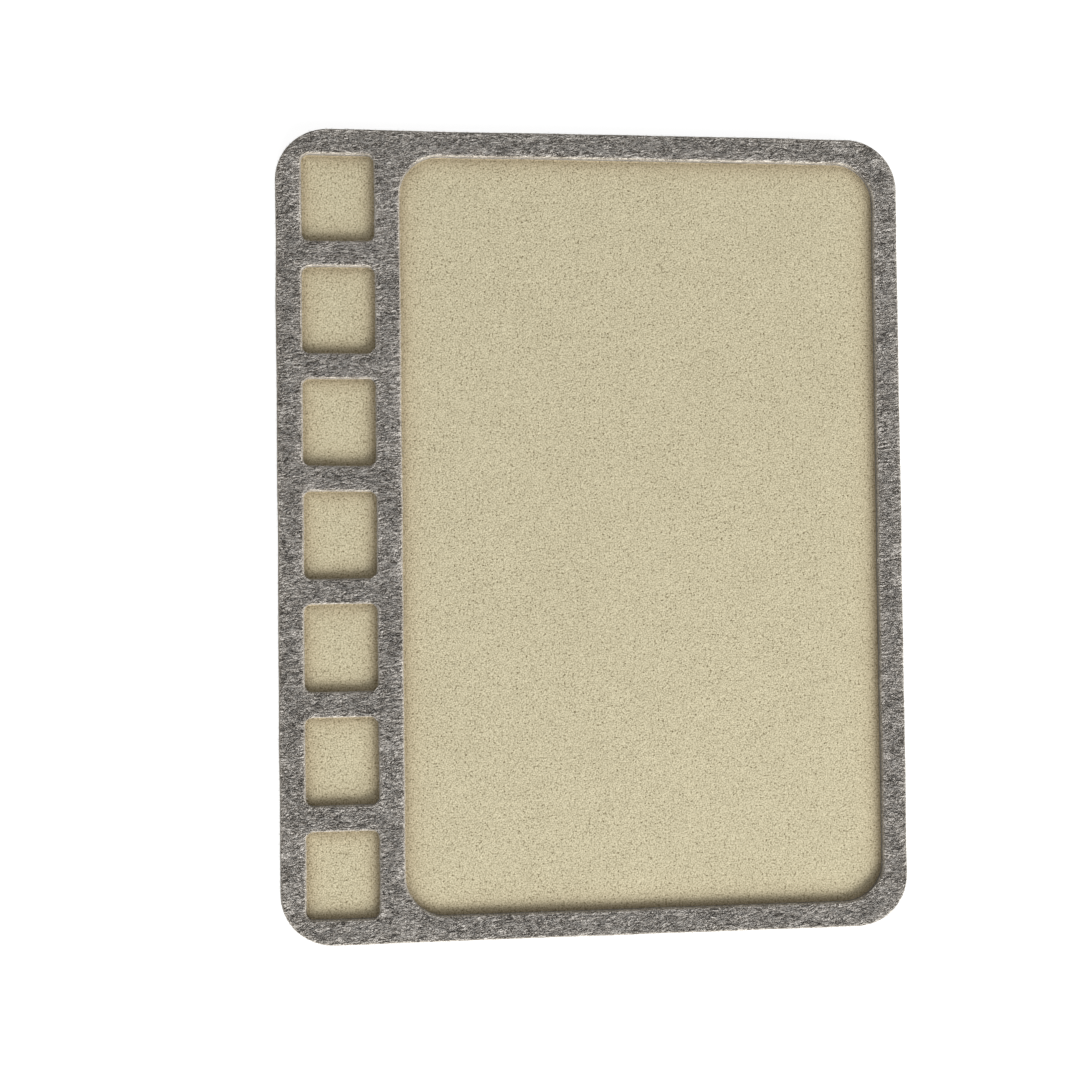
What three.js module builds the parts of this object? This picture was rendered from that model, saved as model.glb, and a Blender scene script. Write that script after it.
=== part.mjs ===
// Bead mat: a die-cut felt frame bonded to a flocked foam sheet.
// The frame's windows make one large work area and a column of small wells down the left side.
// Millimetres, +Z up. The origin is the centre of the underside, and +Y runs up the column of wells.
import * as THREE from 'three';
import { mergeVertices } from 'three/addons/utils/BufferGeometryUtils.js';

// Overall outline
const MAT_WIDTH = 279.4;
const MAT_LENGTH = 355.6;
const OUTER_CORNER_RADIUS = 23;

// Felt frame: every margin, rung and rail has the same width
const BAR_WIDTH = 11.1;
const FELT_THICKNESS = 3;
const FELT_ARRIS_RADIUS = 0.6;
const BOND_THICKNESS = 0.1;

// Work area: its corners are rounder than the outline's drawn in by a bar, so the frame widens there
const WORK_CORNER_RADIUS = 17.5;

// Column of small wells
const WELL_COUNT = 7;
const WELL_WIDTH = 31.75;
const WELL_CORNER_RADIUS = 3.2;

// Flocked foam sheet: pile stands free in the windows and is pressed flat under the frame
const PILE_HEIGHT = 0.8;
const PRESSED_PILE_HEIGHT = 0.4;
const PILE_CROWN_RUN = 2.5;
const PILE_WALL_CLEARANCE = 0.3;
const FOAM_PLY_THICKNESS = 0.7;
const SCRIM_THICKNESS = 0.2;

// Facets of each quarter turn
const CORNER_STEPS = 8;
const EDGE_STEPS = 3;

// A corner keeps at least this radius where its rectangle is drawn in
const LEAST_CORNER_RADIUS = 0.2;

// Outline and windows, each a rounded rectangle about its own centre
const outline = { x: 0, y: 0, width: MAT_WIDTH, length: MAT_LENGTH, radius: OUTER_CORNER_RADIUS };

const wellLength = (MAT_LENGTH - (WELL_COUNT + 1) * BAR_WIDTH) / WELL_COUNT;
const wellColumnX = -MAT_WIDTH / 2 + BAR_WIDTH + WELL_WIDTH / 2;
const wells = Array.from({ length: WELL_COUNT }, (_, i) => ({
  x: wellColumnX,
  y: ((WELL_COUNT - 1) / 2 - i) * (wellLength + BAR_WIDTH),
  width: WELL_WIDTH,
  length: wellLength,
  radius: WELL_CORNER_RADIUS,
}));

// The work area takes up the rest of the frame beside the column
const workWidth = MAT_WIDTH - WELL_WIDTH - 3 * BAR_WIDTH;
const workArea = {
  x: MAT_WIDTH / 2 - BAR_WIDTH - workWidth / 2,
  y: 0,
  width: workWidth,
  length: MAT_LENGTH - 2 * BAR_WIDTH,
  radius: WORK_CORNER_RADIUS,
};
const windows = [workArea, ...wells];

// Rounded rectangle moved outwards by a distance, or inwards where it is negative
function offset(rectangle, distance) {
  return {
    ...rectangle,
    width: rectangle.width + 2 * distance,
    length: rectangle.length + 2 * distance,
    radius: Math.max(rectangle.radius + distance, LEAST_CORNER_RADIUS),
  };
}

// Points of a rounded rectangle, anticlockwise from above, with an arc at each corner
function ring({ x, y, width, length, radius }) {
  const arc = new THREE.Path();
  const right = width / 2 - radius;
  const top = length / 2 - radius;
  arc.absarc(x + right, y + top, radius, 0, Math.PI / 2);
  arc.absarc(x - right, y + top, radius, Math.PI / 2, Math.PI);
  arc.absarc(x - right, y - top, radius, Math.PI, 1.5 * Math.PI);
  arc.absarc(x + right, y - top, radius, 1.5 * Math.PI, 2 * Math.PI);
  return arc.getPoints(CORNER_STEPS / 2);
}

// Quarter-ellipse edge up to a flat top: how far each step lies in from the wall, and its height
function roundedEdge(run, drop, top) {
  return Array.from({ length: EDGE_STEPS + 1 }, (_, i) => {
    const turn = (i / EDGE_STEPS) * (Math.PI / 2);
    return { inset: run * (1 - Math.cos(turn)), z: top - drop * (1 - Math.sin(turn)) };
  });
}

// Collects the flat faces and upright walls of one sheet, and closes them into one body
class SheetBuilder {
  triangles = [];

  face(outer, holes, z, facesUp) {
    const outerPoints = ring(outer);
    const holePoints = holes.map((hole) => ring(hole));
    const points = [outerPoints, ...holePoints].flat();
    for (const [a, b, c] of THREE.ShapeUtils.triangulateShape(outerPoints, holePoints)) {
      const corners = facesUp ? [a, b, c] : [c, b, a];
      this.triangles.push(...corners.flatMap((i) => [points[i].x, points[i].y, z]));
    }
  }

  // Wall through levels of { rectangle, z } from the lowest up, facing away from or towards its centre
  wall(levels, facesOut) {
    for (let i = 1; i < levels.length; i += 1) {
      const lower = ring(levels[i - 1].rectangle).map((p) => [p.x, p.y, levels[i - 1].z]);
      const upper = ring(levels[i].rectangle).map((p) => [p.x, p.y, levels[i].z]);
      lower.forEach((start, j) => {
        const next = (j + 1) % lower.length;
        const quad = [start, lower[next], upper[next], upper[j]];
        const [a, b, c, d] = facesOut ? quad : quad.reverse();
        this.triangles.push(...a, ...b, ...c, ...a, ...c, ...d);
      });
    }
  }

  geometry() {
    const geometry = new THREE.BufferGeometry();
    geometry.setAttribute('position', new THREE.Float32BufferAttribute(this.triangles, 3));
    const closed = mergeVertices(geometry);
    closed.computeVertexNormals();
    return closed;
  }
}

// Plain layer of the whole outline
function layer(thickness) {
  const sheet = new SheetBuilder();
  sheet.face(outline, [], 0, false);
  sheet.wall([{ rectangle: outline, z: 0 }, { rectangle: outline, z: thickness }], true);
  sheet.face(outline, [], thickness, true);
  return sheet.geometry();
}

// Sheet cut through at every window, with the upper edge of every cut softened to a radius
function dieCutSheet(thickness, arrisRadius) {
  const sheet = new SheetBuilder();
  const edge = [{ inset: 0, z: 0 }, ...roundedEdge(arrisRadius, arrisRadius, thickness)];
  sheet.face(outline, windows, 0, false);
  sheet.wall(edge.map(({ inset, z }) => ({ rectangle: offset(outline, -inset), z })), true);
  for (const window of windows) {
    sheet.wall(edge.map(({ inset, z }) => ({ rectangle: offset(window, inset), z })), false);
  }
  const topWindows = windows.map((window) => offset(window, arrisRadius));
  sheet.face(offset(outline, -arrisRadius), topWindows, thickness, true);
  return sheet.geometry();
}

// Film cut through at every window, with square edges
function film(thickness) {
  const sheet = new SheetBuilder();
  sheet.face(outline, windows, 0, false);
  sheet.wall([{ rectangle: outline, z: 0 }, { rectangle: outline, z: thickness }], true);
  for (const window of windows) {
    sheet.wall([{ rectangle: window, z: 0 }, { rectangle: window, z: thickness }], false);
  }
  sheet.face(outline, windows, thickness, true);
  return sheet.geometry();
}

// Pile face: pressed flat under the frame, with a crowned stand of free pile in every window
function pileFace() {
  const sheet = new SheetBuilder();
  const stands = windows.map((window) => offset(window, -PILE_WALL_CLEARANCE));
  const crown = roundedEdge(PILE_CROWN_RUN, PILE_HEIGHT - PRESSED_PILE_HEIGHT, PILE_HEIGHT);
  sheet.face(outline, [], 0, false);
  sheet.wall([{ rectangle: outline, z: 0 }, { rectangle: outline, z: PRESSED_PILE_HEIGHT }], true);
  sheet.face(outline, stands, PRESSED_PILE_HEIGHT, true);
  for (const stand of stands) {
    sheet.wall(crown.map(({ inset, z }) => ({ rectangle: offset(stand, -inset), z })), true);
    sheet.face(offset(stand, -PILE_CROWN_RUN), [], PILE_HEIGHT, true);
  }
  return sheet.geometry();
}

const feltMaterial = new THREE.MeshStandardMaterial({ color: 0x7c7771, roughness: 1, metalness: 0 });
const pileMaterial = new THREE.MeshStandardMaterial({ color: 0xc7bc96, roughness: 1, metalness: 0 });
const foamMaterial = new THREE.MeshStandardMaterial({ color: 0xd8cca6, roughness: 0.95, metalness: 0 });
const scrimMaterial = new THREE.MeshStandardMaterial({ color: 0xe9e4d6, roughness: 0.9, metalness: 0 });
const bondMaterial = new THREE.MeshStandardMaterial({ color: 0xe2ddcd, roughness: 0.5, metalness: 0 });

// Lays the next piece on a stack of pieces and returns the height of its seat for the one above
function lay(group, name, geometry, material, seat, rise) {
  const mesh = new THREE.Mesh(geometry, material);
  mesh.name = name;
  mesh.position.z = seat;
  group.add(mesh);
  return seat + rise;
}

const flockedSheet = new THREE.Group();
let seat = 0;
seat = lay(flockedSheet, 'pile_back', layer(PILE_HEIGHT), pileMaterial, seat, PILE_HEIGHT);
seat = lay(flockedSheet, 'foam_lower', layer(FOAM_PLY_THICKNESS), foamMaterial, seat, FOAM_PLY_THICKNESS);
seat = lay(flockedSheet, 'scrim', layer(SCRIM_THICKNESS), scrimMaterial, seat, SCRIM_THICKNESS);
seat = lay(flockedSheet, 'foam_upper', layer(FOAM_PLY_THICKNESS), foamMaterial, seat, FOAM_PLY_THICKNESS);
seat = lay(flockedSheet, 'pile_face', pileFace(), pileMaterial, seat, PRESSED_PILE_HEIGHT);

const frame = new THREE.Group();
frame.position.z = seat;
const feltSeat = lay(frame, 'frame_bond', film(BOND_THICKNESS), bondMaterial, 0, BOND_THICKNESS);
lay(frame, 'felt_frame', dieCutSheet(FELT_THICKNESS, FELT_ARRIS_RADIUS), feltMaterial, feltSeat, FELT_THICKNESS);

const beadMat = new THREE.Group();
beadMat.add(flockedSheet, frame);

export default beadMat;
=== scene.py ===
import math

import bpy
import numpy as np
from mathutils import Euler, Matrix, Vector, noise
from mathutils.geometry import delaunay_2d_cdt


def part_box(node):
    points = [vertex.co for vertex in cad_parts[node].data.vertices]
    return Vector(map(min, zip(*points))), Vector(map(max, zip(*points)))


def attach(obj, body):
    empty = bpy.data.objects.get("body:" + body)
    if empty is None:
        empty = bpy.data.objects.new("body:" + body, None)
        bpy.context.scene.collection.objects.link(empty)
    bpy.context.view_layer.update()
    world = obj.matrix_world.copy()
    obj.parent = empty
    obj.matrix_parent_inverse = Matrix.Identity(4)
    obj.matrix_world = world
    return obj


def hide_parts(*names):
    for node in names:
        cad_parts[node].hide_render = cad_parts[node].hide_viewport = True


# Bead mat: a marled felt frame bonded to a flocked foam sheet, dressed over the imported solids.
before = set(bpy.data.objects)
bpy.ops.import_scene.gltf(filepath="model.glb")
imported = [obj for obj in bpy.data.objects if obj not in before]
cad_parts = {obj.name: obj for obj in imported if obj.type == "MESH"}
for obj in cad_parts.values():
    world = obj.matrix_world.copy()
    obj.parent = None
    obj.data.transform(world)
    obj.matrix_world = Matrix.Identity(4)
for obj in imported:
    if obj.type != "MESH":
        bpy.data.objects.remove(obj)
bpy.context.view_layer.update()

MM = 0.001
random = np.random.default_rng(7)

# Layout of the frame, as in the solids
BAR_WIDTH = 11.1 * MM
WELL_COUNT = 7
WELL_WIDTH = 31.75 * MM
WELL_CORNER_RADIUS = 3.2 * MM
OUTER_CORNER_RADIUS = 23 * MM
WORK_CORNER_RADIUS = 17.5 * MM

# Size of the mat and heights of its layers, read from the solids
felt_low, felt_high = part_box("felt_frame")
pile_low, pile_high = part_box("pile_face")
bond_low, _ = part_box("frame_bond")
MAT_WIDTH = felt_high[0] - felt_low[0]
MAT_LENGTH = felt_high[1] - felt_low[1]
FELT_FOOT = felt_low[2]
FELT_TOP = felt_high[2]
PILE_FOOT = pile_low[2]
PILE_PRESSED = bond_low[2]
PILE_FREE = pile_high[2]

# Form of the felt: its soft upper edge, the rim along it with a painted highlight above and painted shade
# below, its walls, and how it waves and strays
ARRIS_RUN = 0.8 * MM
ARRIS_DROP = 1.25 * MM
ARRIS_STEPS = 6
RIM_RUN = 0.85 * MM
RIM_FALL = 1.6
RIM_DEPTH = 1.5 * MM
RIM_SHADE = -0.5
WALL_STEPS = 4
WALL_NAP = 0.112 * MM
WALL_NAP_LENGTH = 0.9 * MM
FELT_SPACING = 0.72 * MM
FELT_MARGIN = ARRIS_RUN + 0.6 * FELT_SPACING
FELT_WAVE = 0.16 * MM
FELT_WAVE_LENGTH = 24 * MM
FELT_LUMP = 0.1 * MM
FELT_LUMP_LENGTH = 7 * MM
FELT_NAP = 0.07 * MM
FELT_NAP_LENGTH = 1.3 * MM
CUT_WANDER = 0.28 * MM
CUT_WANDER_LENGTH = 30 * MM

# Form of the pile: its crown in each window, its nap and pits, how far the painted shade by the felt's
# walls reaches, and its underside
CROWN_DROP = 0.76 * MM
CROWN_RUN = 2.9 * MM
SEAT_RUN = 0.6 * MM
PAINTED_SHADE_RUN = 2.3 * MM
FREE_RUN = 1.5 * MM
PILE_SPACING = 1.02 * MM
PILE_MARGIN = 0.3 * MM
PILE_WAVE = 0.12 * MM
PILE_WAVE_LENGTH = 45 * MM
PILE_NAP = 0.025 * MM
PIT_SHARE = 0.05
PIT_DEPTH = 0.12 * MM
SHALLOWEST_PIT = 0.4
BACK_SPACING = 1.6 * MM
BACK_INSET = 0.3 * MM
BACK_LIFT = 0.04 * MM
BACK_MARGIN = BACK_INSET + 0.5 * BACK_SPACING

# Grain of the flock: granules, tufts, pits and slow patches
GRANULE_SIZE = 0.38 * MM
TUFT_SIZE = 0.74 * MM
TUFT_MIDDLE = 0.43
PIT_SPACING = 2.1 * MM
PATCH_LENGTH = 20 * MM

# Cut edges of the plies: rows of points, the foam's bulge, and their roughness
FOAM_ROWS = 4
FOAM_BULGE = 0.12 * MM
FOAM_ROUGH = 0.06 * MM
SCRIM_ROWS = 2
SCRIM_ROUGH = 0.08 * MM
PLY_ROUGH_LENGTH = 1.1 * MM

# Points of every mesh: along the cuts, round the corners, and jittered by a share of their spacing between
EDGE_SPACING = 0.8 * MM
LEAST_CORNER_STEPS = 8
JITTER = 0.3
WELD = 1e-9

# How far apart the seeds of noise lie, in wavelengths
SEED_SHIFT = 31.7

# Loose fibres that lie on the felt, with their turns in radians
PALE_FIBRES = 5200
DARK_FIBRES = 4200
FIBRE_RADIUS = 0.055 * MM
FIBRE_POINTS = 6
TRIES_PER_FIBRE = 9
PATHS_PER_FIBRE = 2
FIBRE_SHORTEST = 2.5 * MM
FIBRE_LONGEST = 8.0 * MM
FIBRE_STRAYS = 0.25
FIBRE_TURN = 0.5
FIBRE_BEND = 0.9
FIBRE_KINK = 0.22
FIBRE_LOWEST = 0.03 * MM
FIBRE_HIGHEST = 0.16 * MM
FIBRE_START_MARGIN = 0.8 * MM
FIBRE_MARGIN = 0.25 * MM

# Short fuzz that stands out of the felt's cut walls: its lean and climb are shares of its reach
FUZZ_FIBRES = 9000
FUZZ_POINTS = 3
FUZZ_RADIUS = 0.06 * MM
FUZZ_SINK = 0.45 * MM
FUZZ_LEAST_SINK = 0.1 * MM
FUZZ_DEEPEST = 0.85
FUZZ_ROOT = 0.08 * MM
FUZZ_REACH = 0.26 * MM
FUZZ_EVENNESS = 2.5
FUZZ_LEAN = 0.7
FUZZ_CLIMB = 0.1
FUZZ_CLIMB_SPREAD = 0.35
FUZZ_CURL = 0.4

# Tubes of the fibres: where their taper starts, in radians, and the margin of each on the bake map
TUBE_TAPER = 0.25
TUBE_MARGIN = 0.05

# Camera fitted to the photograph: its sensor and lens, its place above the felt, and its turn in degrees
SENSOR_MM = 36.0
LENS_MM = 50.0
CAMERA_PLACE = (-97.1 * MM, -17.7 * MM, FELT_TOP + 657.7 * MM)
CAMERA_TURN = (1.343, -6.209, -0.645)


class Rectangle:
    """A rounded rectangle, with its points and outward normals, and its signed distance."""

    def __init__(self, x, y, width, length, radius):
        self.centre = np.array([x, y])
        self.half = np.array([width / 2, length / 2])
        self.radius = radius

    def ring(self, spacing):
        """Points anticlockwise about every spacing along the outline, and their normals."""
        points, normals = [], []
        inner = self.half - self.radius
        signs = [(1, 1), (-1, 1), (-1, -1), (1, -1)]
        for i, sign in enumerate(signs):
            corner = self.centre + inner * sign
            steps = max(LEAST_CORNER_STEPS, math.ceil(self.radius * math.pi / 2 / spacing))
            turn = (i + np.arange(steps + 1) / steps) * math.pi / 2
            arc = np.stack([np.cos(turn), np.sin(turn)], 1)
            points.append(corner + self.radius * arc)
            normals.append(arc)
            ahead = self.centre + inner * signs[(i + 1) % 4] + self.radius * arc[-1]
            count = max(2, math.ceil(np.linalg.norm(ahead - points[-1][-1]) / spacing))
            share = (np.arange(1, count) / count)[:, None]
            points.append(points[-1][-1] * (1 - share) + ahead * share)
            normals.append(np.repeat(arc[-1:], count - 1, 0))
        return np.concatenate(points), np.concatenate(normals)

    def distance(self, places):
        """Distance of each place outside the outline, negative inside."""
        reach = np.abs(places - self.centre) - (self.half - self.radius)
        outside = np.linalg.norm(np.maximum(reach, 0), axis=1)
        return outside + np.minimum(reach.max(1), 0) - self.radius


outline = Rectangle(0, 0, MAT_WIDTH, MAT_LENGTH, OUTER_CORNER_RADIUS)
well_length = (MAT_LENGTH - (WELL_COUNT + 1) * BAR_WIDTH) / WELL_COUNT
well_x = -MAT_WIDTH / 2 + BAR_WIDTH + WELL_WIDTH / 2
wells = [
    Rectangle(
        well_x,
        ((WELL_COUNT - 1) / 2 - i) * (well_length + BAR_WIDTH),
        WELL_WIDTH,
        well_length,
        WELL_CORNER_RADIUS,
    )
    for i in range(WELL_COUNT)
]
work_width = MAT_WIDTH - WELL_WIDTH - 3 * BAR_WIDTH
work_area = Rectangle(
    MAT_WIDTH / 2 - BAR_WIDTH - work_width / 2,
    0,
    work_width,
    MAT_LENGTH - 2 * BAR_WIDTH,
    WORK_CORNER_RADIUS,
)
windows = [work_area, *wells]

# Every cut of the felt, and whether its wall faces away from its centre (1) or towards it (-1)
cuts = [(outline, 1)] + [(window, -1) for window in windows]


def felt_distance(places):
    """Distance of each place outside the felt's cut, negative on the felt."""
    return np.max([outline.distance(places), *(-w.distance(places) for w in windows)], axis=0)


def window_depth(places):
    """How far each place lies inside the nearest window's wall, negative under the felt."""
    return np.max([-w.distance(places) for w in windows], axis=0)


def noise_at(places, wavelength, seed):
    """Smooth noise of about -1 to 1 at each place, with bumps a wavelength apart."""
    scaled = places / wavelength + SEED_SHIFT * seed
    return np.array([noise.noise(Vector(p)) for p in scaled.tolist()])


def with_height(places, height):
    """Places in the plane, as points at one height or at a height each."""
    return np.column_stack([places, np.broadcast_to(height, len(places))])


# Map for baking: the flat face in a square as long as the mat, and cut edges in columns beside it
MAP_MARGIN = 1.01
SQUARE = MAT_LENGTH * MAP_MARGIN
STRIP_LEFT = (MAT_WIDTH * MAP_MARGIN) / SQUARE
STRIP_PITCH = 0.014
STRIP_FILL = 0.9
STRIP_SEGMENTS = 420
HIDDEN_SCALE = 0.02


def flat_map(places):
    """Map places of the mat's plane from above."""
    return (places[..., :2] + np.array([MAT_WIDTH, MAT_LENGTH]) * MAP_MARGIN / 2) / SQUARE


def hidden_map(places):
    """Map faces that never show to a small patch beside the edges."""
    return flat_map(places) * HIDDEN_SCALE + np.array([1 - HIDDEN_SCALE, 0])


class Piece:
    """Collects the points, faces and bake map of one mesh."""

    def __init__(self):
        self.points = np.zeros((0, 3))
        self.faces = []
        self.map = []
        self.segments = 0
        self.marks = {}

    def add(self, points):
        """Add points, and return their numbers."""
        start = len(self.points)
        self.points = np.concatenate([self.points, points])
        return start + np.arange(len(points))

    def face(self, corners, places):
        """Add faces by the numbers of their corners, with a place on the bake map for each corner."""
        self.faces += corners.tolist()
        self.map.append(places.reshape(-1, 2))

    def bands(self, rows, facing):
        """Close rings of point numbers, one row above another, facing outwards (1) or inwards (-1)."""
        count = len(rows[0])
        segment = self.segments + np.arange(count)
        column, along = np.divmod(segment, STRIP_SEGMENTS)
        self.segments += count
        for i in range(len(rows) - 1):
            lower, upper = rows[i], rows[i + 1]
            quads = np.stack([lower, np.roll(lower, -1), np.roll(upper, -1), upper], 1)
            low = STRIP_LEFT + (column + STRIP_FILL * i / (len(rows) - 1)) * STRIP_PITCH
            high = low + STRIP_FILL * STRIP_PITCH / (len(rows) - 1)
            start, end = along / STRIP_SEGMENTS, (along + 1) / STRIP_SEGMENTS
            corners = [(low, start), (low, end), (high, end), (high, start)]
            places = np.stack([np.stack(c, 1) for c in corners], 1)
            if facing < 0:
                quads, places = quads[:, ::-1], places[:, ::-1]
            self.face(quads, places)

    def triangles(self, corners, mapped):
        """Add triangles, with their places on the bake map worked out from their points."""
        self.face(corners, mapped(self.points[corners]))

    def cap(self, ring, mapped, facing):
        """One flat face over a ring of point numbers, facing up (1) or down (-1)."""
        corners = (ring if facing > 0 else ring[::-1])[None]
        self.face(corners, mapped(self.points[corners]))

    def build(self, name, material, replaces=()):
        """Make the mesh and its object, which rides with the mat."""
        mesh = bpy.data.meshes.new(name)
        mesh.from_pydata(self.points.tolist(), [], self.faces)
        mesh.uv_layers.new(name="OFBake").uv.foreach_set("vector", np.concatenate(self.map).ravel())
        mesh.polygons.foreach_set("use_smooth", np.ones(len(self.faces), bool))
        mesh.materials.append(material)
        for mark, values in self.marks.items():
            mesh.attributes.new(mark, "FLOAT", "POINT").data.foreach_set("value", values)
        mesh.validate()
        piece = bpy.data.objects.new(name, mesh)
        bpy.context.collection.objects.link(piece)
        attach(piece, "root")
        if replaces:
            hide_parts(*replaces)
        return piece


def scattered(spacing):
    """Places over the mat in a jittered triangular grid."""
    rows = np.arange(-MAT_LENGTH / 2, MAT_LENGTH / 2, spacing * math.sqrt(3) / 2)
    columns = np.arange(-MAT_WIDTH / 2, MAT_WIDTH / 2, spacing)
    x, y = np.meshgrid(columns, rows)
    x[1::2] += spacing / 2
    places = np.stack([x.ravel(), y.ravel()], 1)
    return places + random.uniform(-JITTER, JITTER, places.shape) * spacing


def triangulated(places, rings):
    """Triangles over places, with every edge of the closed rings of place numbers kept."""
    edges = [pair for ring in rings for pair in zip(ring.tolist(), np.roll(ring, -1).tolist())]
    _, _, faces, origins, _, _ = delaunay_2d_cdt(
        [Vector(p) for p in places.tolist()], edges, [], 0, WELD, True
    )
    first = np.array([o[0] for o in origins])
    return first[np.array(faces)]


# Materials: the faint gloss and the sheen that all of them share
FIBRE_SPECULAR = 0.15
SHEEN_ROUGHNESS = 0.5


class Nodes:
    """An emptied node tree, and short ways to add nodes to it."""

    def __init__(self, tree):
        self.tree = tree
        tree.nodes.clear()

    def add(self, kind, **settings):
        node = self.tree.nodes.new(kind)
        for key, value in settings.items():
            setattr(node, key, value)
        return node

    def link(self, source, target):
        self.tree.links.new(source, target)

    def feed(self, socket, value):
        if isinstance(value, bpy.types.NodeSocket):
            self.link(value, socket)
        else:
            socket.default_value = value

    def math(self, operation, first, second=0.0, third=0.0):
        node = self.add("ShaderNodeMath", operation=operation)
        for socket, value in zip(node.inputs, (first, second, third)):
            self.feed(socket, value)
        return node.outputs["Value"]

    def shown(self):
        """1 for rays from the camera, straight or by way of gloss or glass, and 0 for the light."""
        rays = self.add("ShaderNodeLightPath").outputs
        mirrored = self.math("MAXIMUM", rays["Is Glossy Ray"], rays["Is Transmission Ray"])
        return self.math("MAXIMUM", rays["Is Camera Ray"], mirrored)


class Surface(Nodes):
    """A new material with a Principled shader, and short ways to texture it."""

    def __init__(self, name):
        self.material = bpy.data.materials.new(name)
        self.material.use_nodes = True
        super().__init__(self.material.node_tree)
        self.shader = self.add("ShaderNodeBsdfPrincipled")
        output = self.add("ShaderNodeOutputMaterial")
        self.link(self.shader.outputs["BSDF"], output.inputs["Surface"])
        self.place = self.add("ShaderNodeTexCoord").outputs["Object"]

    def noise(self, wavelength, detail=2.0, roughness=0.5, place=None):
        node = self.add("ShaderNodeTexNoise")
        self.feed(node.inputs["Vector"], place or self.place)
        node.inputs["Scale"].default_value = 1 / wavelength
        node.inputs["Detail"].default_value = detail
        node.inputs["Roughness"].default_value = roughness
        return node

    def cells(self, wavelength, dimensions="3D"):
        node = self.add("ShaderNodeTexVoronoi", voronoi_dimensions=dimensions)
        self.feed(node.inputs["Vector"], self.place)
        node.inputs["Scale"].default_value = 1 / wavelength
        return node

    def chance(self, cells):
        """A random number for each cell, from 0 to 1."""
        split = self.add("ShaderNodeSeparateColor")
        self.link(cells.outputs["Color"], split.inputs["Color"])
        return split.outputs["Red"]

    def varied(self, tone, value, weight, middle=0.5):
        """The tone, moved by a weight times how far a value lies from its middle."""
        return self.math("MULTIPLY_ADD", self.math("SUBTRACT", value, middle), weight, tone)

    def spread(self, value, low, high, to_low=0.0, to_high=1.0):
        """Value from low to high, as to_low to to_high, held there past the ends."""
        node = self.add("ShaderNodeMapRange", interpolation_type="SMOOTHSTEP")
        for socket, number in zip(node.inputs, (value, low, high, to_low, to_high)):
            self.feed(socket, number)
        return node.outputs["Result"]

    def stretched(self, turn, lengths, shift, place):
        """The place turned about the vertical and divided by a wavelength along each axis."""
        node = self.add("ShaderNodeMapping", vector_type="TEXTURE")
        self.feed(node.inputs["Vector"], place)
        node.inputs["Location"].default_value = (shift, shift, shift)
        node.inputs["Rotation"].default_value = (0, 0, math.radians(turn))
        node.inputs["Scale"].default_value = lengths
        return node.outputs["Vector"]

    def wandered(self, wavelength, reach):
        """The place pushed about by slow noise."""
        push = self.add("ShaderNodeVectorMath", operation="MULTIPLY_ADD")
        slow = self.noise(wavelength, 1.0)
        self.link(slow.outputs["Color"], push.inputs[0])
        push.inputs[1].default_value = (reach, reach, reach)
        self.link(self.place, push.inputs[2])
        return push.outputs["Vector"]

    def ramp(self, value, *stops):
        node = self.add("ShaderNodeValToRGB")
        elements = node.color_ramp.elements
        while len(elements) < len(stops):
            elements.new(0.5)
        for element, (place, colour) in zip(elements, stops):
            element.position = place
            element.color = (*colour, 1)
        self.feed(node.inputs["Fac"], value)
        return node.outputs["Color"]

    def mark(self, name):
        return self.add("ShaderNodeAttribute", attribute_name=name).outputs["Fac"]

    def tinted(self, colour, tint, amount):
        """The colour multiplied by a tint, as far as the amount."""
        node = self.add("ShaderNodeMix", data_type="RGBA", blend_type="MULTIPLY")
        factor, first, second = node.inputs[0], node.inputs[6], node.inputs[7]
        self.feed(factor, amount)
        self.feed(first, colour)
        self.feed(second, (*tint, 1))
        return node.outputs[2]

    def bump(self, height, distance, strength=1.0):
        node = self.add("ShaderNodeBump")
        self.feed(node.inputs["Height"], height)
        node.inputs["Distance"].default_value = distance
        node.inputs["Strength"].default_value = strength
        self.link(node.outputs["Normal"], self.shader.inputs["Normal"])

    def finish(self, colour, roughness, sheen=0.0, sheen_tint=(1, 1, 1)):
        """Give the shader its colour and finish, and return the material."""
        self.feed(self.shader.inputs["Base Color"], colour)
        self.feed(self.shader.inputs["Roughness"], roughness)
        self.shader.inputs["Specular IOR Level"].default_value = FIBRE_SPECULAR
        self.shader.inputs["Sheen Weight"].default_value = sheen
        self.shader.inputs["Sheen Roughness"].default_value = SHEEN_ROUGHNESS
        self.shader.inputs["Sheen Tint"].default_value = (*sheen_tint, 1)
        return self.material


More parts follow.
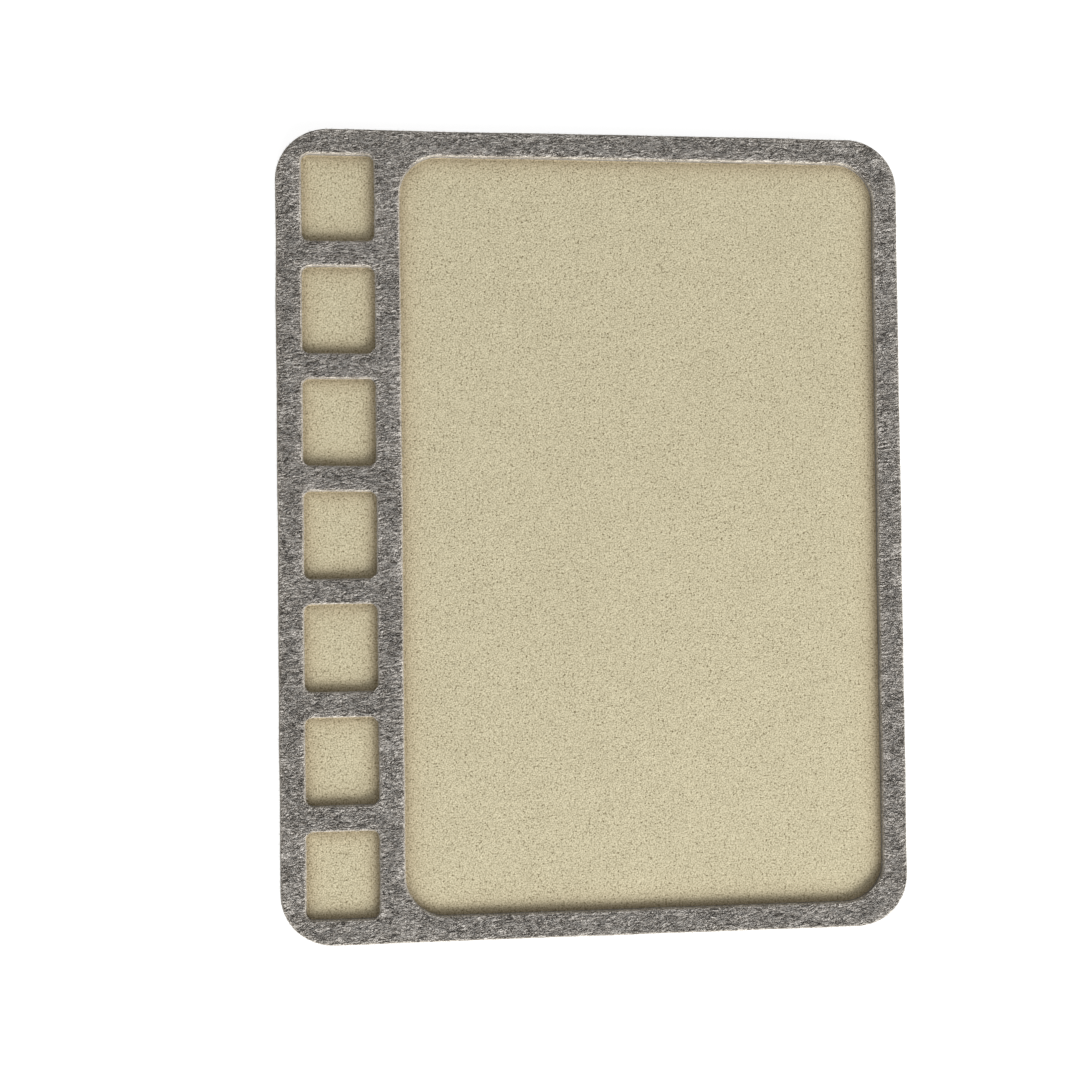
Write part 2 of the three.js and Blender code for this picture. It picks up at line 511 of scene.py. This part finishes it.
def marled_felt():
    """Grey felt of dark and pale fibres laid mostly across the mat, calmer and a little warmer along its
    cuts, with a painted highlight along each cut's upper rim and painted shade down its wall.
    """
    n = Surface("marled_felt")
    place = n.wandered(9 * MM, 4 * MM)
    # Streaks of fibres: turn in degrees, lengths along, across and down, shift and weight
    layers = [
        (9, (8.0 * MM, 0.34 * MM, 0.6 * MM), 0.0, 1.5),
        (-8, (3.4 * MM, 0.34 * MM, 0.6 * MM), 3.1, 1.1),
        (28, (1.9 * MM, 0.32 * MM, 0.6 * MM), 5.3, 1.25),
        (66, (0.6 * MM, 0.3 * MM, 0.5 * MM), 7.7, 1.25),
        (0, (0.4 * MM, 0.34 * MM, 0.4 * MM), 1.3, 1.6),
    ]
    tone = 0.486
    for turn, lengths, shift, weight in layers:
        stretched = n.stretched(turn, lengths, shift, place)
        streak = n.noise(1.0, 2.0, 0.6, stretched).outputs["Fac"]
        tone = n.varied(tone, streak, weight)
    patches = n.noise(10 * MM, 3.0, 0.55).outputs["Fac"]
    tone = n.varied(tone, patches, 0.36)
    calm = n.math("MULTIPLY_ADD", n.mark("cut"), -0.55, 1.0)
    tone = n.varied(0.5, tone, calm)
    # Painted highlight: the rim mark lightens each cut's upper rim, and where it turns negative it paints
    # shade on the wall below
    shade = n.math("MULTIPLY_ADD", n.mark("rim"), 0.18, tone)
    colour = n.ramp(
        shade,
        (0.14, (0.0185, 0.016, 0.013)),
        (0.38, (0.0815, 0.071, 0.0585)),
        (0.51, (0.1755, 0.155, 0.1325)),
        (0.66, (0.351, 0.321, 0.283)),
        (0.88, (0.76, 0.722, 0.672)),
    )
    colour = n.tinted(colour, (1.0, 0.985, 0.93), n.mark("cut"))
    n.bump(tone, 0.25 * MM, 0.6)
    return n.finish(colour, 0.95, 0.4, (0.9, 0.88, 0.85))


def fibre(name, dark, pale):
    """Loose fibres of one colour, which changes a little along them."""
    n = Surface(name)
    tone = n.noise(1.7 * MM, 2.0).outputs["Fac"]
    colour = n.ramp(tone, (0.3, dark), (0.7, pale))
    return n.finish(colour, 0.7, 0.1)


def flocked_pile():
    """Cream flock in small tufts and finer granules, with dark pits, and painted shade, darker and warmer,
    by the felt's walls and along its cut edges.
    """
    n = Surface("flocked_pile")
    tone = n.varied(0.429, n.chance(n.cells(GRANULE_SIZE)), 0.34)
    tufts = n.cells(TUFT_SIZE, dimensions="2D").outputs["Distance"]
    tone = n.varied(tone, tufts, -0.55, TUFT_MIDDLE)
    patches = n.noise(PATCH_LENGTH, 1.0).outputs["Fac"]
    tone = n.varied(tone, patches, 0.06)
    spots = n.cells(PIT_SPACING, dimensions="2D")
    pit = n.spread(spots.outputs["Distance"], 0.07, 0.19, 1.0, 0.0)
    pit = n.math("MULTIPLY", pit, n.spread(n.chance(spots), 0.72, 1.0))
    # Painted shade mark: full under the felt and along the cut edges, fading into each window away from
    # the felt's walls; the pits fade out where it is strong
    pressed = n.mark("pressed")
    pit = n.math("MULTIPLY", pit, n.math("SUBTRACT", 1.0, pressed))
    tone = n.math("MULTIPLY_ADD", pit, -0.8, tone)
    colour = n.ramp(
        tone,
        (0.0, (0.205, 0.168, 0.09)),
        (0.28, (0.435, 0.384, 0.252)),
        (0.52, (0.6, 0.54, 0.368)),
        (0.88, (0.81, 0.748, 0.545)),
    )
    # Painted shade: first a warm cast like light bounced in the shade by the walls, then plain darkening
    colour = n.tinted(colour, (1.0, 0.918, 0.865), n.math("POWER", pressed, 0.5))
    colour = n.tinted(colour, (0.86, 0.86, 0.86), pressed)
    n.bump(tone, 0.2 * MM, 0.6)
    return n.finish(colour, 1.0, 0.2, (1.0, 0.95, 0.82))


def cut_foam():
    """Open foam cells along the cut edge of a ply."""
    n = Surface("cut_foam")
    cells = n.cells(0.4 * MM).outputs["Distance"]
    grain = n.noise(0.9 * MM, 3.0).outputs["Fac"]
    tone = n.math("MULTIPLY_ADD", grain, 0.5, n.math("MULTIPLY", cells, 0.6))
    colour = n.ramp(
        tone,
        (0.2, (0.24, 0.203, 0.125)),
        (0.5, (0.395, 0.347, 0.228)),
        (0.8, (0.5, 0.448, 0.31)),
    )
    n.bump(cells, 0.2 * MM, 0.8)
    return n.finish(colour, 0.95, 0.1)


def scrim_thread():
    """Pale thread ends of the reinforcing cloth."""
    n = Surface("scrim_thread")
    threads = n.noise(0.5 * MM, 2.0).outputs["Fac"]
    colour = n.ramp(threads, (0.3, (0.5, 0.46, 0.36)), (0.7, (0.8, 0.76, 0.66)))
    n.bump(threads, 0.1 * MM, 0.7)
    return n.finish(colour, 0.85, 0.1)


def hot_melt():
    """Milky adhesive film, a little glossy."""
    n = Surface("hot_melt")
    flow = n.noise(2.5 * MM, 2.0).outputs["Fac"]
    colour = n.ramp(flow, (0.3, (0.2, 0.18, 0.15)), (0.7, (0.34, 0.31, 0.26)))
    n.bump(flow, 0.1 * MM, 0.4)
    return n.finish(colour, n.spread(flow, 0.3, 0.7, 0.4, 0.6))


def felt_height(places):
    """Height of the felt's upper face, with slow waves and small lumps."""
    flat = with_height(places, 0)
    wave = noise_at(flat, FELT_WAVE_LENGTH, 1) * FELT_WAVE
    lump = noise_at(flat, FELT_LUMP_LENGTH, 2) * FELT_LUMP
    return FELT_TOP - FELT_WAVE / 2 + wave + lump


def wander(places):
    """How far the cut strays from the drawn line at each place."""
    flat = with_height(places, 0)
    return np.stack([noise_at(flat, CUT_WANDER_LENGTH, s) for s in (3, 4)], 1) * CUT_WANDER


def make_felt(material):
    """Felt sheet cut through at the windows, with fibrous walls and soft upper edges."""
    piece = Piece()
    turn = np.arange(ARRIS_STEPS + 1) / ARRIS_STEPS * math.pi / 2
    wall_top = FELT_TOP - ARRIS_DROP
    profile = [(0.0, z) for z in np.linspace(FELT_FOOT, wall_top, WALL_STEPS + 1)[:-1]]
    profile += zip(ARRIS_RUN * (1 - np.cos(turn)), wall_top + ARRIS_DROP * np.sin(turn))
    feet, tops = [], []
    for rectangle, facing in cuts:
        points, normals = rectangle.ring(EDGE_SPACING)
        rows = []
        for inset, z in profile:
            rows.append(piece.add(with_height(points - normals * inset * facing, z)))
        piece.bands(rows, facing)
        feet.append(rows[0])
        tops.append(rows[-1])
    inner = scattered(FELT_SPACING)
    inner = inner[felt_distance(inner) < -FELT_MARGIN]
    numbers = np.concatenate([*tops, piece.add(with_height(inner, FELT_TOP))])
    corners = numbers[triangulated(piece.points[numbers, :2], renumbered(tops, numbers))]
    piece.triangles(on_felt(piece, corners), flat_map)
    ground = np.concatenate(feet)
    corners = ground[triangulated(piece.points[ground, :2], renumbered(feet, ground))]
    piece.triangles(on_felt(piece, corners)[:, ::-1], hidden_map)
    shape_felt(piece)
    return piece.build("felt_frame_cloth", material, ["felt_frame"])


def renumbered(rings, numbers):
    """Rings of point numbers, as places in a list of those numbers."""
    place = np.full(numbers.max() + 1, -1)
    place[numbers] = np.arange(len(numbers))
    return [place[ring] for ring in rings]


def on_felt(piece, corners):
    """The triangles that lie on the felt and not in a window."""
    middle = piece.points[corners][:, :, :2].mean(1)
    return corners[felt_distance(middle) < 0]


def shape_felt(piece):
    """Waves and nap on the upper face, rough fibres on the walls, and a wandering cut."""
    points = piece.points
    flat = points[:, :2].copy()
    depth = -felt_distance(flat)
    piece.marks["cut"] = np.clip(RIM_FALL * (1 - depth / RIM_RUN), 0, 1)
    # Rim mark: painted highlight on the top of each cut, turning to painted shade, down to RIM_SHADE, on
    # the lower wall
    rim_light_and_shade = np.clip(1 - (FELT_TOP - points[:, 2]) / RIM_DEPTH, RIM_SHADE, 1)
    piece.marks["rim"] = piece.marks["cut"] * rim_light_and_shade
    rise = np.clip((points[:, 2] - FELT_FOOT) / (FELT_TOP - FELT_FOOT), 0, 1)
    nap = noise_at(points, FELT_NAP_LENGTH, 5) * FELT_NAP
    points[:, 2] += rise * (felt_height(flat) - FELT_TOP + nap)
    points[:, :2] += wander(flat)
    rough = np.stack([noise_at(points, WALL_NAP_LENGTH, s) for s in (6, 8)], 1)
    wall = (depth < ARRIS_RUN)[:, None]
    points[:, :2] += np.where(wall, rough * WALL_NAP, 0)


def tubes(piece, paths, radius):
    """Thin three-sided tubes along paths of points, closed at both ends and tapered there."""
    count, steps, _ = paths.shape
    along = np.gradient(paths, axis=1)
    along /= np.linalg.norm(along, axis=2, keepdims=True)
    # The vertical is tipped by the path's other end, so that a fibre standing upright has a side too
    side = np.cross(along, np.array([0.0, 0.0, 1.0]) + 0.3 * along[:, ::-1])
    side /= np.linalg.norm(side, axis=2, keepdims=True) + 1e-12
    up = np.cross(side, along)
    taper = np.sqrt(np.sin(np.linspace(TUBE_TAPER, math.pi - TUBE_TAPER, steps)))
    turn = np.arange(3) * math.tau / 3
    ring = side[:, :, None] * np.cos(turn)[:, None] + up[:, :, None] * np.sin(turn)[:, None]
    points = paths[:, :, None] + ring * (radius * taper)[None, :, None, None]
    numbers = piece.add(points.reshape(-1, 3)).reshape(count, steps, 3)
    ahead = np.roll(numbers, -1, axis=2)
    quads = np.stack([numbers[:, :-1], numbers[:, 1:], ahead[:, 1:], ahead[:, :-1]], -1)
    cells = math.ceil(math.sqrt(count))
    row, column = np.divmod(np.arange(count), cells)
    corner = np.stack([column, row], 1)[:, None, None, None]
    wide, high = 1 / 3, 1 / (steps - 1)
    share = np.stack(np.meshgrid(np.arange(3) * wide, np.arange(steps - 1) * high), -1)
    step = np.array([[0, 0], [0, high], [wide, high], [wide, 0]])
    inside = (1 - 2 * TUBE_MARGIN) * (share[None, :, :, None] + step)
    places = (corner + TUBE_MARGIN + inside) / cells
    piece.face(quads.reshape(-1, 4), places)
    for end, order in ((numbers[:, 0], 1), (numbers[:, -1], -1)):
        places = (corner[:, 0, 0] + 0.5 + TUBE_MARGIN * np.array([[0, 0], [1, 0], [0, 1]])) / cells
        piece.face(end[:, ::order], places)


def lying_fibres(count):
    """Paths of fibres that lie on the felt, most of them across the mat."""
    start = random.uniform(-0.5, 0.5, (count * TRIES_PER_FIBRE, 2)) * (MAT_WIDTH, MAT_LENGTH)
    keep = felt_distance(start) < -FIBRE_START_MARGIN
    start = start[keep][: count * PATHS_PER_FIBRE]
    total = len(start)
    length = random.uniform(FIBRE_SHORTEST, FIBRE_LONGEST, total)
    heading = random.normal(0, FIBRE_TURN, total) + math.pi * random.integers(0, 2, total)
    strays = random.random(total) < FIBRE_STRAYS
    heading = np.where(strays, random.uniform(0, math.tau, total), heading)
    bend = random.normal(0, FIBRE_BEND, total)
    kink = random.normal(0, FIBRE_KINK, (total, FIBRE_POINTS - 1)).cumsum(1)
    turn = heading[:, None] + bend[:, None] * np.linspace(-0.5, 0.5, FIBRE_POINTS - 1) + kink
    step = (length / (FIBRE_POINTS - 1))[:, None, None] * np.stack([np.cos(turn), np.sin(turn)], -1)
    path = start[:, None] + np.concatenate([np.zeros((total, 1, 2)), step.cumsum(1)], 1)
    outside = felt_distance(path.reshape(-1, 2)).reshape(total, -1).max(1)
    path = path[outside < -FIBRE_MARGIN][:count]
    flat = path.reshape(-1, 2)
    arch = np.sin(np.linspace(0, math.pi, FIBRE_POINTS))
    lift = random.uniform(FIBRE_LOWEST, FIBRE_HIGHEST, (len(path), 1))
    edge = np.clip(1 + felt_distance(flat) / ARRIS_RUN, 0, 1) ** 2 * ARRIS_DROP
    height = (felt_height(flat) - edge).reshape(len(path), -1) + arch * lift
    moved = (flat + wander(flat)).reshape(path.shape)
    return np.concatenate([moved, height[..., None]], 2)


def arris_inset(height):
    """How far the soft upper edge draws the wall back at each height."""
    share = np.clip((height - FELT_TOP) / ARRIS_DROP + 1, 0, 1)
    return ARRIS_RUN * (1 - np.sqrt(1 - share**2))


def edge_fuzz(count):
    """Paths of the short fuzz that stands out of the cut walls, thickest along the upper rim."""
    paths = []
    lengths = np.array([len(r.ring(EDGE_SPACING)[0]) for r, _ in cuts])
    for (rectangle, facing), share in zip(cuts, lengths / lengths.sum()):
        points, normals = rectangle.ring(EDGE_SPACING)
        pick = random.integers(0, len(points), round(count * share))
        total = len(pick)
        out = normals[pick] * facing
        tangent = np.stack([-out[:, 1], out[:, 0]], 1)
        flat = points[pick] + tangent * random.uniform(-0.5, 0.5, (total, 1)) * EDGE_SPACING
        sink = random.exponential(FUZZ_SINK, total) + FUZZ_LEAST_SINK
        sink = np.minimum(sink, FUZZ_DEEPEST * (FELT_TOP - FELT_FOOT))
        rise = 1 - sink / (FELT_TOP - FELT_FOOT)
        foot = FELT_TOP - sink + rise * (felt_height(flat) - FELT_TOP)
        root = flat + wander(flat) - out * (arris_inset(FELT_TOP - sink) + FUZZ_ROOT)[:, None]
        reach = FUZZ_ROOT + random.gamma(FUZZ_EVENNESS, FUZZ_REACH / FUZZ_EVENNESS, total)
        lean = random.normal(0, FUZZ_LEAN, total)
        climb = random.normal(FUZZ_CLIMB, FUZZ_CLIMB_SPREAD, total)
        along = reach[:, None] * np.linspace(0, 1, FUZZ_POINTS)
        curl = along * np.linspace(FUZZ_CURL, 1, FUZZ_POINTS)
        path = root[:, None] + out[:, None] * along[..., None]
        path = path + tangent[:, None] * (curl * lean[:, None])[..., None]
        height = foot[:, None] + curl * climb[:, None]
        paths.append(np.concatenate([path, height[..., None]], 2))
    return np.concatenate(paths)


def make_fibres(name, paths, radius, material):
    """One piece of all the fibres along some paths."""
    piece = Piece()
    tubes(piece, paths, radius)
    return piece.build(name, material)


def pile_height(places):
    """Height of the flocked face: squeezed down under the felt and crowned in each window."""
    depth = np.maximum(window_depth(places), 0)
    wave = noise_at(with_height(places, 0), PILE_WAVE_LENGTH, 9) * PILE_WAVE
    return PILE_FREE + wave - CROWN_DROP * np.exp(-depth / CROWN_RUN)


def make_pile_face(material):
    """Flocked face, dense with nap in the windows and plain under the felt, with painted shade by the
    felt's walls.
    """
    piece = Piece()
    edge, _ = outline.ring(EDGE_SPACING)
    foot = piece.add(with_height(edge, PILE_FOOT))
    rim = piece.add(with_height(edge, PILE_PRESSED))
    piece.bands([foot, rim], 1)
    piece.cap(foot, hidden_map, -1)
    nap = scattered(PILE_SPACING)
    nap = nap[window_depth(nap) > PILE_MARGIN]
    free = np.clip(window_depth(nap) / FREE_RUN, 0, 1)
    rise = random.normal(0, 1, len(nap)) * PILE_NAP
    pitted = random.random(len(nap)) < PIT_SHARE
    pit = random.uniform(SHALLOWEST_PIT, 1, len(nap)) * PIT_DEPTH
    height = pile_height(nap) + free * (rise - pitted * pit)
    seats = []
    for window in windows:
        points, normals = window.ring(EDGE_SPACING)
        seats.append(with_height(points, pile_height(points)))
        seats.append(with_height(points + normals * SEAT_RUN, PILE_PRESSED))
    seats = np.concatenate(seats)
    under = piece.add(seats)
    inner = piece.add(with_height(nap, height))
    numbers = np.concatenate([rim, under, inner])
    corners = numbers[triangulated(piece.points[numbers, :2], renumbered([rim], numbers))]
    middle = piece.points[corners][:, :, :2].mean(1)
    piece.triangles(corners[outline.distance(middle) < 0], flat_map)
    # Painted shade in the flock: full under the felt and at the cut edge, fading into each window from the
    # felt's walls
    depth = np.maximum(window_depth(piece.points[:, :2]), 0)
    piece.marks["pressed"] = np.exp(-depth / PAINTED_SHADE_RUN)
    return piece.build("pile_face_flock", material, ["pile_face"])


def make_pile_back(material):
    """Flocked underside, with its nap flattened level by the table, and painted shade along its cut edge.
    """
    piece = Piece()
    low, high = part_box("pile_back")
    edge, normals = outline.ring(EDGE_SPACING)
    foot = piece.add(with_height(edge - normals * BACK_INSET, low[2] + BACK_LIFT))
    shoulder = piece.add(with_height(edge, low[2] + BACK_INSET))
    rim = piece.add(with_height(edge, high[2]))
    piece.bands([foot, shoulder, rim], 1)
    piece.cap(rim, hidden_map, 1)
    nap = scattered(BACK_SPACING)
    nap = nap[outline.distance(nap) < -BACK_MARGIN]
    height = low[2] + np.abs(random.normal(0, 1, len(nap))) * PILE_NAP
    inner = piece.add(with_height(nap, height))
    numbers = np.concatenate([foot, inner])
    corners = numbers[triangulated(piece.points[numbers, :2], renumbered([foot], numbers))]
    middle = piece.points[corners][:, :, :2].mean(1)
    piece.triangles(corners[outline.distance(middle) < -BACK_INSET][:, ::-1], flat_map)
    # Painted shade on the underside's cut edge, and none on its nap
    piece.marks["pressed"] = np.repeat([1.0, 0.0], [len(piece.points) - len(nap), len(nap)])
    return piece.build("pile_back_flock", material, ["pile_back"])


def make_ply(node, material, rows, bulge, rough, seed):
    """A plain ply whose cut edge bulges a little and is rough."""
    piece = Piece()
    low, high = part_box(node)
    edge, normals = outline.ring(EDGE_SPACING)
    rings = []
    for share in np.linspace(0, 1, rows + 1):
        z = low[2] + share * (high[2] - low[2])
        points = with_height(edge, z)
        out = bulge * math.sin(share * math.pi) + rough * noise_at(points, PLY_ROUGH_LENGTH, seed) - rough
        points[:, :2] += normals * np.broadcast_to(out, len(edge))[:, None]
        rings.append(piece.add(points))
    piece.bands(rings, 1)
    piece.cap(rings[0], hidden_map, -1)
    piece.cap(rings[-1], hidden_map, 1)
    return piece.build(f"{node}_ply", material, [node])


felt = make_felt(marled_felt())
pale = fibre("pale_fibre", (0.36, 0.34, 0.315), (0.62, 0.6, 0.565))
white = fibre("white_fibre", (0.52, 0.485, 0.43), (0.85, 0.81, 0.735))
dark = fibre("dark_fibre", (0.035, 0.032, 0.03), (0.1, 0.093, 0.085))
make_fibres("felt_fibres_pale", lying_fibres(PALE_FIBRES), FIBRE_RADIUS, pale)
make_fibres("felt_fibres_dark", lying_fibres(DARK_FIBRES), FIBRE_RADIUS, dark)
make_fibres("felt_fibres_edge", edge_fuzz(FUZZ_FIBRES), FUZZ_RADIUS, white)

flock = flocked_pile()
foam = cut_foam()
pile_face = make_pile_face(flock)
pile_back = make_pile_back(flock)
foam_upper = make_ply("foam_upper", foam, FOAM_ROWS, FOAM_BULGE, FOAM_ROUGH, 11)
foam_lower = make_ply("foam_lower", foam, FOAM_ROWS, FOAM_BULGE, FOAM_ROUGH, 12)
scrim = make_ply("scrim", scrim_thread(), SCRIM_ROWS, 0.0, SCRIM_ROUGH, 13)
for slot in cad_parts["frame_bond"].material_slots:
    slot.material = hot_melt()


# Stage: a white floor that keeps the shadow, a broad low window of light and an even sky
FLOOR_REACH = 12.0
FLOOR_ALBEDO = 0.35
FLOOR_GLOW = 0.86
FLOOR_WHITE = 1.0
FLOOR_NEAR = 0.3
FLOOR_FAR = 0.9
KEY_AZIMUTH = -61
KEY_DISTANCE = 3.0
KEY_WIDTH = 6.2
KEY_FOOT = 0.64
KEY_HEAD = 2.26
KEY_WATTS = 305.0
SKY_STRENGTH = 0.4


def make_floor():
    """White floor: away from the mat it only glows, and near it the mat's shadow shows."""
    mesh = bpy.data.meshes.new("floor")
    r = FLOOR_REACH
    mesh.from_pydata([(-r, -r, 0), (r, -r, 0), (r, r, 0), (-r, r, 0)], [], [(0, 1, 2, 3)])
    floor = bpy.data.objects.new("floor", mesh)
    bpy.context.collection.objects.link(floor)
    n = Surface("white_floor")
    shown = n.shown()
    away = n.add("ShaderNodeVectorMath", operation="LENGTH")
    n.link(n.place, away.inputs[0])
    share = n.spread(away.outputs["Value"], FLOOR_NEAR, FLOOR_FAR)
    glow = n.math("MULTIPLY_ADD", share, FLOOR_WHITE - FLOOR_GLOW, FLOOR_GLOW)
    albedo = n.ramp(n.math("MULTIPLY", shown, share), (0.0, (FLOOR_ALBEDO,) * 3), (1.0, (0, 0, 0)))
    n.feed(n.shader.inputs["Emission Strength"], n.math("MULTIPLY", glow, shown))
    n.shader.inputs["Emission Color"].default_value = (1, 1, 1, 1)
    mesh.materials.append(n.finish(albedo, 1.0))


def make_sky():
    """Even white light all round, shown as plain white."""
    world = bpy.data.worlds.new("sky")
    world.use_nodes = True
    n = Nodes(world.node_tree)
    background = n.add("ShaderNodeBackground")
    background.inputs["Color"].default_value = (1, 1, 1, 1)
    strength = n.math("MULTIPLY_ADD", n.shown(), 1 - SKY_STRENGTH, SKY_STRENGTH)
    n.feed(background.inputs["Strength"], strength)
    output = n.add("ShaderNodeOutputWorld")
    n.link(background.outputs["Background"], output.inputs["Surface"])
    bpy.context.scene.world = world


def make_key():
    """A broad upright window of light, low beyond the mat's lower right."""
    azimuth = math.radians(KEY_AZIMUTH)
    lamp = bpy.data.lights.new("key", "AREA")
    lamp.shape = "RECTANGLE"
    lamp.size = KEY_WIDTH
    lamp.size_y = KEY_HEAD - KEY_FOOT
    lamp.energy = KEY_WATTS
    key = bpy.data.objects.new("key", lamp)
    away = Vector((math.cos(azimuth), math.sin(azimuth), 0))
    key.location = away * KEY_DISTANCE + Vector((0, 0, (KEY_FOOT + KEY_HEAD) / 2))
    key.rotation_euler = away.to_track_quat("Z", "Y").to_euler()
    bpy.context.collection.objects.link(key)


def make_camera():
    """The photograph's camera, as fitted to the mat's edges."""
    data = bpy.data.cameras.new("camera")
    data.lens = LENS_MM
    data.sensor_width = SENSOR_MM
    camera = bpy.data.objects.new("camera", data)
    camera.location = CAMERA_PLACE
    camera.rotation_euler = Euler([math.radians(a) for a in CAMERA_TURN])
    bpy.context.collection.objects.link(camera)
    bpy.context.scene.camera = camera


make_floor()
make_sky()
make_key()
make_camera()
bpy.context.scene.view_settings.view_transform = "Standard"
